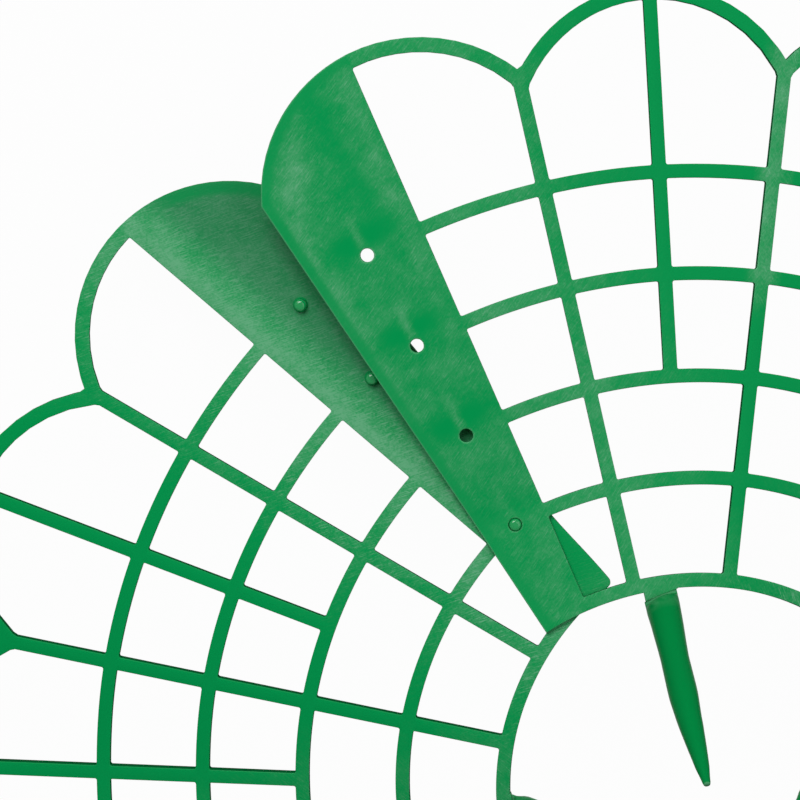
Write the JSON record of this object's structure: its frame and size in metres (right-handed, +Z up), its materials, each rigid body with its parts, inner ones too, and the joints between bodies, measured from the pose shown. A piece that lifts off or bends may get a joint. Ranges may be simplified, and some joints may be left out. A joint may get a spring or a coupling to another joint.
{
  "type": "conical strawberry support",
  "caption": "Moulded plastic lattice panels pinned into a cone-shaped collar that keeps strawberries off the soil, with fold-down stakes at the narrow end.",
  "frame": {"origin": "on the ground under the middle of the ring, which stands on its wide rim as in the picture", "axes": "+Z up along the ring's axis, towards its narrow end; +Y towards the joint that the picture shows"},
  "size_m": [0.3812, 0.3812, 0.1002],
  "materials": {
    "panel_plastic": "green, fine brushed scratches",
    "stake_plastic": "green, smooth"
  },
  "bodies": {
    "back_right": {"back_right_panel": "panel_plastic"},
    "back_left": {"back_left_panel": "panel_plastic"},
    "front_left": {"front_left_panel": "panel_plastic"},
    "front_right": {"front_right_panel": "panel_plastic"},
    "back_right_spike": {"back_right_stake": "stake_plastic"},
    "back_left_spike": {"back_left_stake": "stake_plastic"},
    "front_left_spike": {"front_left_stake": "stake_plastic"},
    "front_right_spike": {"front_right_stake": "stake_plastic"}
  },
  "joints": [
    {"name": "back_swing", "type": "hinge", "parent": "back_right", "child": "back_left", "pos_m": [0, 0.07496, 0.04052], "axis": [0, 0.3319, 0.9433], "range_deg": [-16, 16]},
    {"name": "left_swing", "type": "hinge", "parent": "back_left", "child": "front_left", "pos_m": [-0.07496, 0, 0.04052], "axis": [-0.3319, 0, 0.9433], "range_deg": [-16, 16]},
    {"name": "right_swing", "type": "hinge", "parent": "back_right", "child": "front_right", "pos_m": [0.07496, 0, 0.04052], "axis": [-0.3319, 0, -0.9433], "range_deg": [-16, 16]},
    {"name": "back_right_fold", "type": "hinge", "parent": "back_right", "child": "back_right_spike", "pos_m": [0.01861, 0.04222, 0.05301], "axis": [-0.8736, 0.484, -0.0508], "range_deg": [-20, 30]},
    {"name": "back_left_fold", "type": "hinge", "parent": "back_left", "child": "back_left_spike", "pos_m": [-0.04222, 0.01861, 0.05301], "axis": [-0.484, -0.8736, -0.0508], "range_deg": [-20, 30]},
    {"name": "front_left_fold", "type": "hinge", "parent": "front_left", "child": "front_left_spike", "pos_m": [-0.01861, -0.04222, 0.05301], "axis": [0.8736, -0.484, -0.0508], "range_deg": [-20, 30]},
    {"name": "front_right_fold", "type": "hinge", "parent": "front_right", "child": "front_right_spike", "pos_m": [0.04222, -0.01861, 0.05301], "axis": [0.484, 0.8736, -0.0508], "range_deg": [-20, 30]}
  ],
  "couplings": [
    {"joint": "left_swing", "follows": "back_swing", "ratio": -1},
    {"joint": "right_swing", "follows": "back_swing", "ratio": -1}
  ]
}
